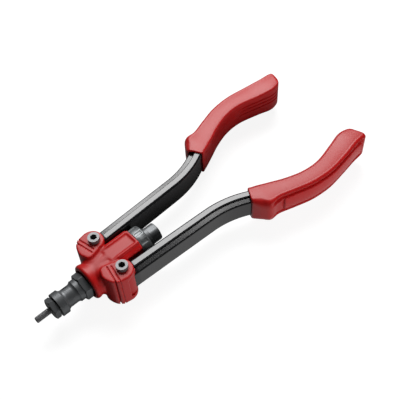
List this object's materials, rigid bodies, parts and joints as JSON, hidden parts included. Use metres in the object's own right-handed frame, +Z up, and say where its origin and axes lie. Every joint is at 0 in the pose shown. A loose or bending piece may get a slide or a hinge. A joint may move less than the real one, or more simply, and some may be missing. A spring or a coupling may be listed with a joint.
{
  "type": "rivet nut tool",
  "caption": "Two-handed rivet nut setting tool: toothed lever heads on curved channel arms drive a round rack and nose forward over a threaded mandrel held by a rear knob.",
  "frame": {"origin": "centre of the nose piece's front face, on the mandrel's axis", "axes": "+X along the mandrel out of the nose, +Y to the left arm, +Z up through the pivot bolts' heads"},
  "size_m": [0.3453, 0.1432, 0.0449],
  "materials": {
    "red_paint": "satin red paint on a light alloy casting",
    "bronze": "sintered bronze",
    "bright_steel": "zinc plated",
    "zinc_steel": "turned and plated",
    "tool_steel": "hardened and oiled",
    "black_steel": "black oxide",
    "black_paint": "gloss black",
    "red_grip": "moulded, fine grain",
    "red_pad": "soft moulded pad"
  },
  "bodies": {
    "tool_body": {"body_casting": "red_paint", "guide_bush": "bronze", "pivot_bolts": "bright_steel", "pivot_washers": "bright_steel", "pivot_nuts": "bright_steel", "rear_collar": "zinc_steel", "spindle_bush": "bronze"},
    "nose_slide": {"rack_sleeve": "tool_steel", "lock_nut": "black_steel", "nose_housing": "black_steel", "nose_piece": "black_steel"},
    "spindle_unit": {"mandrel": "black_steel", "mandrel_holder": "tool_steel", "spindle": "tool_steel", "thrust_washer": "bright_steel", "knob_ring": "black_steel", "knob": "black_steel", "knob_pin": "black_steel"},
    "left_arm": {"left_lever_head": "tool_steel", "left_dust_shield": "red_paint", "left_pivot_bush": "bronze", "left_inner_channel": "black_paint", "left_outer_channel": "black_paint", "left_grip": "red_grip", "left_palm_pad": "red_pad"},
    "right_arm": {"right_lever_head": "tool_steel", "right_dust_shield": "red_paint", "right_pivot_bush": "bronze", "right_inner_channel": "black_paint", "right_outer_channel": "black_paint", "right_grip": "red_grip", "right_palm_pad": "red_pad"}
  },
  "joints": [
    {"name": "left_arm_open", "type": "hinge", "parent": "tool_body", "child": "left_arm", "pos_m": [-0.06388, 0.01954, 0], "axis": [0, 0, -1], "range_deg": [0, 40]},
    {"name": "right_arm_open", "type": "hinge", "parent": "tool_body", "child": "right_arm", "pos_m": [-0.06388, -0.01954, 0], "axis": [0, 0, 1], "range_deg": [0, 40]},
    {"name": "nose_slide_back", "type": "slide", "parent": "tool_body", "child": "nose_slide", "axis": [-1, 0, 0], "range_m": [0, 0.00734]},
    {"name": "spindle_spin", "type": "hinge", "parent": "tool_body", "child": "spindle_unit", "pos_m": [-0.094, 0, 0], "axis": [1, 0, 0], "continuous": true}
  ],
  "couplings": [
    {"joint": "right_arm_open", "follows": "left_arm_open", "ratio": 1},
    {"joint": "nose_slide_back", "follows": "left_arm_open", "m_per_rad": 0.0105}
  ]
}
